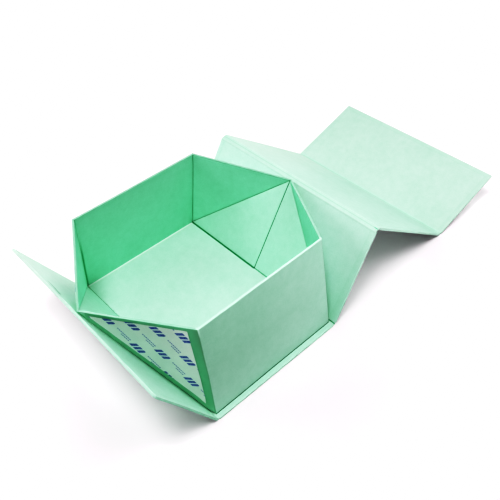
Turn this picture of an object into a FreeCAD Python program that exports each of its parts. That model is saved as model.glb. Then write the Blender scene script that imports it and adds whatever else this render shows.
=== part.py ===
import FreeCAD, Part
import math
import os
import Sketcher

# Collapsible rigid gift box, half erected: a wrapped-board case of five
# panels in a row (front, base, back, lid, closing flap) with a folding tray
# glued on its base.  Units are millimetres.  The origin is the centre of the
# base panel's underside, +X runs from the front panel to the closing flap,
# +Y along the hinges and +Z up.

os.makedirs("parts", exist_ok=True)
doc = FreeCAD.newDocument("gift_box")
V = FreeCAD.Vector

# ---------------------------------------------------------------- dimensions
sheet = doc.addObject("Spreadsheet::Sheet", "Sheet")
DIMS = [
    # tray, outside
    ("tray_length", 138.0, "tray along X, outside"),
    ("tray_width", 200.0, "tray along Y, outside; twice the wall height"),
    ("wall_height", 100.0, "height of the wall boards along their slope"),
    ("tray_board", 2.0, "tray board with its wrap"),
    ("gusset_lean", 29.8, "outward lean of the folding end walls, degrees"),
    ("fold_level", 2.5, "height of the fold line round the tray floor"),
    ("corner_inset", 1.3, "board edge to the upright corner fold"),
    ("tip_cut", 3.2, "end of a lower triangle's sharp tip, from the corner"),
    ("diagonal_inset", 0.9, "board edge to the diagonal fold"),
    ("centre_inset", 0.35, "board edge to the centre fold"),
    ("wall_foot_inset", 0.2, "board edge to the fold under a side wall"),
    ("floor_inset_end", 2.1, "floor board back from the end fold"),
    ("floor_inset_side", 2.4, "floor board back from the side fold"),
    # case
    ("case_board", 2.3, "case board with its wrap and lining"),
    ("case_width", 205.5, "case panels along Y"),
    ("hinge_gap_half", 2.5, "half the gap between two case boards"),
    ("ridge_gap_half", 2.2, "half the gap at the ridge"),
    ("axis_reach", 73.1, "hinge axes of the front and back panels from the centre"),
    ("front_size", 101.8, "front panel, axis to free edge"),
    ("back_size", 100.3, "back panel, axis to axis"),
    ("lid_size", 148.0, "lid, axis to axis"),
    ("flap_size", 94.8, "closing flap, axis to free edge"),
    ("front_angle", 61.0, "front panel above the table"),
    ("back_angle", 59.3, "back panel above the table"),
    ("valley_level", -0.8, "height of the axis between lid and closing flap"),
    ("flap_angle", 18.4, "closing flap above the table"),
    ("edge_round", 0.45, "rounding of a wrapped edge"),
    ("tray_round", 0.25, "rounding of a tray board's edges"),
    # paper hinges
    ("strip_thick", 0.35, "wrap and lining glued together across a gap"),
    # adhesive pads
    ("pad_thick", 0.25, "double-sided tape with its release liner"),
    ("pad_inset_corner", 8.6, "pad to the upright corner fold"),
    ("pad_inset_rim", 3.0, "pad to the rim"),
    ("pad_inset_diagonal", 4.6, "pad to the diagonal fold"),
    # closure
    ("magnet_radius", 6.0, "closing magnet"),
    ("magnet_thick", 1.2, "closing magnet"),
    ("keeper_thick", 0.8, "steel disc in the front panel"),
    ("pocket_clearance", 0.05, "round a sealed disc"),
    ("closure_spacing", 120.0, "between the two magnets"),
    ("magnet_place", 81.0, "magnet centre from the flap axis"),
    ("keeper_place", 23.5, "disc centre from the front panel axis"),
]
for row, (alias, value, note) in enumerate(DIMS, start=1):
    sheet.set("A%d" % row, alias)
    sheet.set("B%d" % row, repr(value))
    sheet.set("C%d" % row, note)
    sheet.setAlias("B%d" % row, alias)
doc.recompute()
g = {alias: float(sheet.get(alias)) for alias, value, note in DIMS}


def bind(obj, prop, expr):
    obj.setExpression(prop, expr)


def plane_of(body, role):
    for feature in body.Origin.OriginFeatures:
        if feature.Role == role:
            return feature
    raise RuntimeError("no plane " + role)


def polygon_sketch(body, name, points, plane="XY_Plane", lift=None):
    """Closed polygon whose corners are bound to pairs of sheet expressions."""
    sketch = body.newObject("Sketcher::SketchObject", name)
    sketch.AttachmentSupport = [(plane_of(body, plane), "")]
    sketch.MapMode = "FlatFace"
    if lift is not None:
        bind(sketch, "AttachmentOffset.Base.z", lift)
    values = [(px, py) for px, py, ex, ey in points]
    count = len(values)
    for k in range(count):
        a = values[k]
        b = values[(k + 1) % count]
        sketch.addGeometry(Part.LineSegment(V(a[0], a[1], 0), V(b[0], b[1], 0)), False)
    for k in range(count):
        sketch.addConstraint(Sketcher.Constraint("Coincident", k, 2, (k + 1) % count, 1))
    for k, (px, py, ex, ey) in enumerate(points):
        for kind, value, expr in (("DistanceX", px, ex), ("DistanceY", py, ey)):
            index = sketch.addConstraint(Sketcher.Constraint(kind, -1, 1, k, 1, value))
            if expr is not None:
                bind(sketch, "Constraints[%d]" % index, expr)
    return sketch


def circle_sketch(body, name, circles, radius_expr, radius, lift):
    """Circles of one radius; centres bound to pairs of sheet expressions."""
    sketch = body.newObject("Sketcher::SketchObject", name)
    sketch.AttachmentSupport = [(plane_of(body, "XY_Plane"), "")]
    sketch.MapMode = "FlatFace"
    bind(sketch, "AttachmentOffset.Base.z", lift)
    for k, (cx, cy, ex, ey) in enumerate(circles):
        sketch.addGeometry(Part.Circle(V(cx, cy, 0), V(0, 0, 1), radius), False)
        index = sketch.addConstraint(Sketcher.Constraint("Radius", k, radius))
        bind(sketch, "Constraints[%d]" % index, radius_expr)
        for kind, value, expr in (("DistanceX", cx, ex), ("DistanceY", cy, ey)):
            index = sketch.addConstraint(Sketcher.Constraint(kind, -1, 1, k, 3, value))
            bind(sketch, "Constraints[%d]" % index, expr)
    return sketch


def board(label, points, thick_expr, reverse=False, rounding=None, pockets=None):
    """A flat board: polygon sketch, pad, optional sealed pockets, rounded edges."""
    body = doc.addObject("PartDesign::Body", label)
    body.Label = label
    sketch = polygon_sketch(body, label + "_outline", points)
    pad = body.newObject("PartDesign::Pad", label + "_pad")
    pad.Profile = sketch
    pad.Reversed = reverse
    bind(pad, "Length", thick_expr)
    doc.recompute()
    last = pad
    if rounding is not None:
        fillet = body.newObject("PartDesign::Fillet", label + "_edges")
        fillet.Base = (last, ["Edge%d" % (n + 1) for n in range(len(last.Shape.Edges))])
        bind(fillet, "Radius", rounding)
        doc.recompute()
        last = fillet
    if pockets is not None:
        circles, radius_expr, radius, lift, depth_expr = pockets
        before = last.Shape.Volume
        profile = circle_sketch(body, label + "_pockets_outline", circles, radius_expr, radius, lift)
        pocket = body.newObject("PartDesign::Pocket", label + "_pockets")
        pocket.Profile = profile
        bind(pocket, "Length", depth_expr)
        doc.recompute()
        if not before - pocket.Shape.Volume > 100.0:
            raise RuntimeError(label + ": the pockets cut nothing")
        last = pocket
    body.Tip = last
    return body


def put(obj, origin, xdir, ydir):
    """Place an object so that its local X and Y run along two unit vectors."""
    xdir = V(xdir)
    ydir = V(ydir)
    zdir = xdir.cross(ydir)
    obj.Placement = FreeCAD.Placement(origin, FreeCAD.Rotation(xdir, ydir, zdir, "ZXY"))
    check = obj.Placement.Rotation.multVec(V(1, 0, 0)) - xdir
    if check.Length > 1e-6:
        raise RuntimeError(obj.Label + ": placement")


def rad(name):
    return math.radians(g[name])


# ------------------------------------------------------------ case geometry
half = g["case_width"] / 2.0
tc = g["case_board"]
fa, ba, pa = rad("front_angle"), rad("back_angle"), rad("flap_angle")
front_axis = V(-g["axis_reach"], 0, 0)
back_axis = V(g["axis_reach"], 0, 0)
ridge = V(g["axis_reach"] + g["back_size"] * math.cos(ba), 0, g["back_size"] * math.sin(ba))
# the lid falls from the ridge to the valley line, which lies on the table
la = math.asin((ridge.z - g["valley_level"]) / g["lid_size"])
valley = V(ridge.x + g["lid_size"] * math.cos(la), 0, g["valley_level"])


def case_board(label, low, low_expr, high, high_expr, reverse=False, pockets=None):
    hw, he = half, "Sheet.case_width / 2"
    points = [
        (low, -hw, low_expr, "-" + he),
        (high, -hw, high_expr, "-" + he),
        (high, hw, high_expr, he),
        (low, hw, low_expr, he),
    ]
    return board(label, points, "Sheet.case_board", reverse, "Sheet.edge_round", pockets)


# base panel: lies on the table, carries the tray
base_half = g["axis_reach"] - g["hinge_gap_half"]
base_panel = case_board("base_panel",
                        -base_half, "-(Sheet.axis_reach - Sheet.hinge_gap_half)",
                        base_half, "Sheet.axis_reach - Sheet.hinge_gap_half")

# front panel: leans outward on the apex of the front gusset; two steel discs
# are sealed in its board
kz = (tc + g["keeper_thick"]) / 2.0 + g["pocket_clearance"]
front_pockets = (
    [(g["keeper_place"], side * g["closure_spacing"] / 2.0, "Sheet.keeper_place",
      ("" if side > 0 else "-") + "Sheet.closure_spacing / 2") for side in (-1, 1)],
    "Sheet.magnet_radius + Sheet.pocket_clearance", g["magnet_radius"] + g["pocket_clearance"],
    "-(Sheet.case_board - Sheet.keeper_thick) / 2 + Sheet.pocket_clearance",
    "Sheet.keeper_thick + 2 * Sheet.pocket_clearance")
front_panel = case_board("front_panel", g["hinge_gap_half"], "Sheet.hinge_gap_half",
                         g["front_size"], "Sheet.front_size", reverse=True, pockets=front_pockets)
put(front_panel, front_axis, V(-math.cos(fa), 0, math.sin(fa)), V(0, 1, 0))

# back panel: leans outward over the back gusset
back_panel = case_board("back_panel", g["hinge_gap_half"], "Sheet.hinge_gap_half",
                        g["back_size"] - g["ridge_gap_half"], "Sheet.back_size - Sheet.ridge_gap_half")
put(back_panel, back_axis, V(math.cos(ba), 0, math.sin(ba)), V(0, 1, 0))

# lid: falls from the ridge to the table
lid_panel = case_board("lid_panel", g["ridge_gap_half"], "Sheet.ridge_gap_half",
                       g["lid_size"] - g["hinge_gap_half"], "Sheet.lid_size - Sheet.hinge_gap_half")
put(lid_panel, ridge, V(math.cos(la), 0, -math.sin(la)), V(0, 1, 0))

# closing flap: rises from the table; two magnets are sealed in its board
flap_pockets = (
    [(g["magnet_place"], side * g["closure_spacing"] / 2.0, "Sheet.magnet_place",
      ("" if side > 0 else "-") + "Sheet.closure_spacing / 2") for side in (-1, 1)],
    "Sheet.magnet_radius + Sheet.pocket_clearance", g["magnet_radius"] + g["pocket_clearance"],
    "(Sheet.case_board + Sheet.magnet_thick) / 2 + Sheet.pocket_clearance",
    "Sheet.magnet_thick + 2 * Sheet.pocket_clearance")
closing_flap = case_board("closing_flap", g["hinge_gap_half"], "Sheet.hinge_gap_half",
                          g["flap_size"], "Sheet.flap_size", pockets=flap_pockets)
put(closing_flap, valley, V(math.cos(pa), 0, math.sin(pa)), V(0, 1, 0))


# sealed discs
def disc(label, host, along, side, thick_name, centre_z):
    item = doc.addObject("Part::Cylinder", label)
    item.Label = label
    bind(item, "Radius", "Sheet.magnet_radius")
    bind(item, "Height", "Sheet." + thick_name)
    local = V(g[along], side * g["closure_spacing"] / 2.0, centre_z - g[thick_name] / 2.0)
    item.Placement = host.Placement.multiply(FreeCAD.Placement(local, FreeCAD.Rotation()))
    return item


magnet_near = disc("magnet_near", closing_flap, "magnet_place", -1, "magnet_thick", tc / 2.0)
magnet_far = disc("magnet_far", closing_flap, "magnet_place", 1, "magnet_thick", tc / 2.0)
keeper_near = disc("steel_disc_near", front_panel, "keeper_place", -1, "keeper_thick", -tc / 2.0)
keeper_far = disc("steel_disc_far", front_panel, "keeper_place", 1, "keeper_thick", -tc / 2.0)


# ------------------------------------------------------------- paper hinges
# Across each gap the wrap and the lining are glued together as a thin strip.
# Each strip is drawn in the XZ plane and padded along Y.
def strip(label, path, thick, first_angle, last_angle):
    """path: (x, z) points along the underside, from -X to +X.  The two ends are
    square to the panels, which lie at first_angle and last_angle."""
    body = doc.addObject("PartDesign::Body", label)
    body.Label = label
    count = len(path)
    normals = []
    for k in range(count):
        a = path[max(k - 1, 0)]
        b = path[min(k + 1, count - 1)]
        dx, dz = b[0] - a[0], b[1] - a[1]
        size = math.hypot(dx, dz)
        normals.append((-dz / size, dx / size))
    normals[0] = (-math.sin(first_angle), math.cos(first_angle))
    normals[-1] = (-math.sin(last_angle), math.cos(last_angle))
    top = [(p[0] + n[0] * thick, p[1] + n[1] * thick) for p, n in zip(path, normals)]
    outline = [(p[0], p[1], None, None) for p in path + top[::-1]]
    sketch = polygon_sketch(body, label + "_section", outline, plane="XZ_Plane")
    pad = body.newObject("PartDesign::Pad", label + "_pad")
    pad.Profile = sketch
    bind(pad, "Length", "Sheet.case_width - 2 * Sheet.edge_round")
    body.Tip = pad
    doc.recompute()
    low, high = body.Shape.BoundBox.YMin, body.Shape.BoundBox.YMax
    body.Placement = FreeCAD.Placement(V(0, -(low + high) / 2.0, 0), FreeCAD.Rotation())
    return body


def along(origin, angle, distance, up=0.0):
    """Point at a distance from an axis along a panel, and up off its outer face."""
    return (origin.x + distance * math.cos(angle) - up * math.sin(angle),
            origin.z + distance * math.sin(angle) + up * math.cos(angle))


st = g["strip_thick"]
hg = g["hinge_gap_half"]
rg = g["ridge_gap_half"]
slack = 0.04
# back: from the base board's edge up to the back panel's edge
back_hinge = strip("back_hinge_paper", [
    (back_axis.x - hg + slack, 0.12), (back_axis.x - 0.9, 0.02), (back_axis.x - 0.1, 0.16),
    along(back_axis, ba, 0.9, 0.10), along(back_axis, ba, hg - slack, 0.10)], st, 0.0, ba)
# front: the same, mirrored, with its own angle
mirror = [(back_axis.x - hg + slack, 0.12), (back_axis.x - 0.9, 0.02), (back_axis.x - 0.1, 0.16),
          along(back_axis, fa, 0.9, 0.10), along(back_axis, fa, hg - slack, 0.10)]
front_hinge = strip("front_hinge_paper", [(-x, z) for x, z in mirror][::-1], st, -fa, 0.0)
# ridge: the strip is pulled over the top, from inner edge to inner edge
ridge_hinge = strip("ridge_hinge_paper", [
    along(ridge, ba, -rg + slack, tc - 0.42), along(ridge, ba, -rg + 1.15, tc - 0.05),
    (ridge.x, ridge.z + 2.35),
    along(ridge, -la, rg - 1.15, tc - 0.05), along(ridge, -la, rg - slack, tc - 0.42)], st, ba, -la)
# valley: from the lid's lower edge, flat on the table, to the closing flap
lid_foot = along(valley, -la, -hg + slack, 0.05)
flap_foot = along(valley, pa, hg - slack, 0.05)
flap_hinge = strip("flap_hinge_paper", [
    lid_foot, (lid_foot[0] + 0.8, 0.72), (lid_foot[0] + 2.0, 0.08), (flap_foot[0] - 1.2, 0.02),
    flap_foot], st, -la, pa)

# -------------------------------------------------------------- folding tray
L, W, H, T = g["tray_length"], g["tray_width"], g["wall_height"], g["tray_board"]
theta = rad("gusset_lean")
# The side walls lean inward as the end walls lean outward: with a 45 degree
# diagonal fold the two leans are tied by cos(theta) = tan(45 deg - phi / 2).
phi = math.pi / 2.0 - 2.0 * math.atan(math.cos(theta))
z0 = g["fold_level"]

floor_x = L / 2.0 - g["floor_inset_end"]
floor_y = W / 2.0 - g["floor_inset_side"]
fx, fy = "(Sheet.tray_length / 2 - Sheet.floor_inset_end)", "(Sheet.tray_width / 2 - Sheet.floor_inset_side)"
tray_floor = board("tray_floor", [
    (-floor_x, -floor_y, "-" + fx, "-" + fy), (floor_x, -floor_y, fx, "-" + fy),
    (floor_x, floor_y, fx, fy), (-floor_x, floor_y, "-" + fx, fy)],
    "Sheet.tray_board", False, "Sheet.tray_round")
tray_floor.Placement = FreeCAD.Placement(V(0, 0, tc), FreeCAD.Rotation())
bind(tray_floor, "Placement.Base.z", "Sheet.case_board")

# side walls: one near (-Y), one far (+Y)
wx = L / 2.0 - g["corner_inset"]
wxe = "(Sheet.tray_length / 2 - Sheet.corner_inset)"
wall_points = [
    (-wx, g["wall_foot_inset"], "-" + wxe, "Sheet.wall_foot_inset"),
    (wx, g["wall_foot_inset"], wxe, "Sheet.wall_foot_inset"),
    (wx, H, wxe, "Sheet.wall_height"),
    (-wx, H, "-" + wxe, "Sheet.wall_height")]
tray_wall_near = board("tray_wall_near", wall_points, "Sheet.tray_board", True, "Sheet.tray_round")
put(tray_wall_near, V(0, -W / 2.0, z0), V(1, 0, 0), V(0, math.sin(phi), math.cos(phi)))
tray_wall_far = board("tray_wall_far", wall_points, "Sheet.tray_board", True, "Sheet.tray_round")
put(tray_wall_far, V(0, W / 2.0, z0), V(-1, 0, 0), V(0, -math.sin(phi), math.cos(phi)))

# End walls: each is four triangles.  Two lower ones stand on the end fold and
# share the centre fold; two upper ones hang between the corner fold and the
# diagonal fold.  All legs equal the wall height.
q2 = math.sqrt(2.0)
dg, ci, co = g["diagonal_inset"], g["centre_inset"], g["corner_inset"]
# lower triangle, local corners: centre foot (0,0), corner (H,0), apex (0,H)
low_far, tip = H - dg * q2, H - g["tip_cut"]
low_pts = [
    (ci, 0.0, "Sheet.centre_inset", "0"),
    (tip, 0.0, "Sheet.wall_height - Sheet.tip_cut", "0"),
    (tip, low_far - tip, "Sheet.wall_height - Sheet.tip_cut", "Sheet.tip_cut - Sheet.diagonal_inset * sqrt(2)"),
    (ci, low_far - ci, "Sheet.centre_inset",
     "Sheet.wall_height - Sheet.diagonal_inset * sqrt(2) - Sheet.centre_inset")]
# upper triangle, local corners: foot (0,0), rim corner (0,H), apex (H,H)
up_pts = [
    (co, co + dg * q2, "Sheet.corner_inset", "Sheet.corner_inset + Sheet.diagonal_inset * sqrt(2)"),
    (H - dg * q2, H, "Sheet.wall_height - Sheet.diagonal_inset * sqrt(2)", "Sheet.wall_height"),
    (co, H, "Sheet.corner_inset", "Sheet.wall_height")]
pc, pr, pd = g["pad_inset_corner"], g["pad_inset_rim"], g["pad_inset_diagonal"]
pad_pts = [
    (pc, pc + pd * q2, "Sheet.pad_inset_corner", "Sheet.pad_inset_corner + Sheet.pad_inset_diagonal * sqrt(2)"),
    (H - pr - pd * q2, H - pr, "Sheet.wall_height - Sheet.pad_inset_rim - Sheet.pad_inset_diagonal * sqrt(2)",
     "Sheet.wall_height - Sheet.pad_inset_rim"),
    (pc, H - pr, "Sheet.pad_inset_corner", "Sheet.wall_height - Sheet.pad_inset_rim")]


def flip(points):
    """The same outline mirrored in local X, kept counter-clockwise."""
    turned = []
    for px, py, ex, ey in points:
        turned.append((-px, py, "-(" + ex + ")", ey))
    return turned[::-1]


tray = [tray_floor, tray_wall_near, tray_wall_far]
pads = []
for end, ex in (("front", -1), ("back", 1)):
    for side, sy in (("near", -1), ("far", 1)):
        name = "gusset_%s_%s" % (end, side)
        foot = V(ex * L / 2.0, 0, z0)
        up_slope = V(ex * math.sin(theta), 0, math.cos(theta))
        # lower: local X along the end fold, local Z outward, so it pads backward
        xdir = V(0, ex, 0)
        points = low_pts if ex * sy > 0 else flip(low_pts)
        lower = board(name + "_lower", points, "Sheet.tray_board", True, "Sheet.tray_round")
        put(lower, foot, xdir, up_slope)
        # upper: local Y up the corner fold, local X along the rim to the apex
        corner_foot = V(ex * L / 2.0, sy * W / 2.0, z0)
        corner_top = corner_foot + V(0, -sy * math.sin(phi), math.cos(phi)) * H
        apex = foot + up_slope * H
        ydir = (corner_top - corner_foot).normalize()
        rim = apex - corner_top
        if abs(rim.Length - H) > 0.05:
            raise RuntimeError("the folding end does not close")
        rdir = V(rim).normalize()
        inward = rdir.cross(ydir)
        inside = inward.dot(V(-ex, 0, 0)) > 0
        upper = board(name + "_upper", up_pts, "Sheet.tray_board", not inside, "Sheet.tray_round")
        put(upper, corner_foot, rdir, ydir)
        pad = board("tape_%s_%s" % (end, side), pad_pts, "Sheet.pad_thick", inside)
        put(pad, corner_foot, rdir, ydir)
        tray += [lower, upper]
        pads.append(pad)

doc.recompute()

# ------------------------------------------------------------------- export
parts = [base_panel, front_panel, back_panel, lid_panel, closing_flap,
         front_hinge, back_hinge, ridge_hinge, flap_hinge,
         magnet_near, magnet_far, keeper_near, keeper_far] + tray + pads
for obj in doc.Objects:
    for word in ("Invalid", "Error"):
        if word in obj.State:
            raise RuntimeError("%s is %s" % (obj.Label, obj.State))
for obj in parts:
    if obj.Shape.isNull() or not obj.Shape.isValid():
        raise RuntimeError(obj.Label + " has no valid shape")
    if len(obj.Shape.Solids) != 1:
        raise RuntimeError("%s has %d solids" % (obj.Label, len(obj.Shape.Solids)))
names = [obj.Label for obj in parts]
if len(set(names)) != len(names):
    raise RuntimeError("two parts share a name")
for obj in parts:
    obj.Shape.exportStep("parts/" + obj.Label + ".step")
    box = obj.Shape.BoundBox
    print("%-28s %9.1f mm3  x %.1f..%.1f  y %.1f..%.1f  z %.2f..%.2f" % (
        obj.Label, obj.Shape.Volume, box.XMin, box.XMax, box.YMin, box.YMax, box.ZMin, box.ZMax))
print("lid angle %.3f  side wall lean %.3f" % (math.degrees(la), math.degrees(phi)))
print("ridge %.3f %.3f  valley %.3f %.3f" % (ridge.x, ridge.z, valley.x, valley.z))
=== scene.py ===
# Looks for the collapsible gift box: mint paper wrapped over board.
import bpy
import bmesh
import math
import numpy as np
from mathutils import Matrix, Vector


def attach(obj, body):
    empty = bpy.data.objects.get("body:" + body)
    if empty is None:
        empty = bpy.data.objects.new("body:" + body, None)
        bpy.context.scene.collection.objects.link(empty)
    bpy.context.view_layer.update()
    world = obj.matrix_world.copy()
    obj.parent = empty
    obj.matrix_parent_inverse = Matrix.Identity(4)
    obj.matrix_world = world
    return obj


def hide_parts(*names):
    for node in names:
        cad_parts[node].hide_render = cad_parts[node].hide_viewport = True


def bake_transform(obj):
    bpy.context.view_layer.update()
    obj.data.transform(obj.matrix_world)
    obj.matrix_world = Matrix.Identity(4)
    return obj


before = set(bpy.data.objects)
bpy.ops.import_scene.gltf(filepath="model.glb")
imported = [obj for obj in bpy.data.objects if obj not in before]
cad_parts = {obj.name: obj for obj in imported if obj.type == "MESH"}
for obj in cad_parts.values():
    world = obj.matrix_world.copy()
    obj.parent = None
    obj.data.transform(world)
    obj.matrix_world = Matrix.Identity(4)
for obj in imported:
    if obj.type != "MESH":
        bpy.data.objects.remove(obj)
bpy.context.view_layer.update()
MM = 0.001

# ------------------------------------------------------------- the CAD's sizes
L, W, H, T = 138.0, 200.0, 100.0, 2.0
TC, HW = 2.3, 102.75
THETA = math.radians(29.8)
PHI = math.pi / 2 - 2 * math.atan(math.cos(THETA))
Z0 = 2.5
AX = 73.1
FA, BA, PA = math.radians(61.0), math.radians(59.3), math.radians(18.4)
FRONT, BACK, LID, FLAP = 101.8, 100.3, 148.0, 94.8
HG, RG = 2.5, 2.2
RIDGE = (AX + BACK * math.cos(BA), BACK * math.sin(BA))
LA = math.asin((RIDGE[1] + 0.8) / LID)
VALLEY = (RIDGE[0] + LID * math.cos(LA), -0.8)


# ---------------------------------------------------------------- mesh helpers
def new_object(name, verts, faces, attrs=None, uv=None, smooth=True):
    """Mesh object from points in millimetres, with float attributes per vertex."""
    mesh = bpy.data.meshes.new(name)
    mesh.from_pydata([tuple(c * MM for c in v) for v in verts], [], faces)
    mesh.validate()
    for key, values in (attrs or {}).items():
        layer = mesh.attributes.new(key, "FLOAT", "POINT")
        layer.data.foreach_set("value", np.asarray(values, np.float32))
    if uv is not None:
        layer = mesh.uv_layers.new(name="UVMap")
        index = np.zeros(len(mesh.loops), np.int32)
        mesh.loops.foreach_get("vertex_index", index)
        layer.data.foreach_set("uv", np.asarray(uv, np.float32)[index].ravel())
    mesh.polygons.foreach_set("use_smooth", [smooth] * len(mesh.polygons))
    mesh.update()
    obj = bpy.data.objects.new(name, mesh)
    bpy.context.scene.collection.objects.link(obj)
    return obj


def sharpen(obj, angle):
    """Smooth shading that keeps edges sharper than an angle."""
    bm = bmesh.new()
    bm.from_mesh(obj.data)
    for e in bm.edges:
        if len(e.link_faces) == 2 and e.calc_face_angle(0.0) > math.radians(angle):
            e.smooth = False
    bm.to_mesh(obj.data)
    bm.free()


def spaced(lo, hi, near_lo, near_hi, step):
    """Grid positions from lo to hi: extra lines at given offsets from each end."""
    points = [lo, hi] + [lo + d for d in near_lo] + [hi - d for d in near_hi]
    inner_lo = lo + max(list(near_lo) + [0.0])
    inner_hi = hi - max(list(near_hi) + [0.0])
    count = max(1, int(round((inner_hi - inner_lo) / step)))
    points += [inner_lo + (inner_hi - inner_lo) * k / count for k in range(count + 1)]
    points = sorted(points)
    kept = [points[0]]
    for p in points[1:]:
        if p - kept[-1] > 0.02:
            kept.append(p)
    return kept


def hash_wave(x, y, seed):
    """Smooth, repeatable unevenness of about -1..1."""
    v = 0.0
    for k, (a, b, w) in enumerate(((0.021, 0.013, 1.0), (-0.011, 0.027, 0.8), (0.047, -0.031, 0.45), (0.019, 0.061, 0.35))):
        v += w * math.sin(a * x + b * y + seed * (1.7 + k) + k * 2.1)
    return v / 1.8


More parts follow.
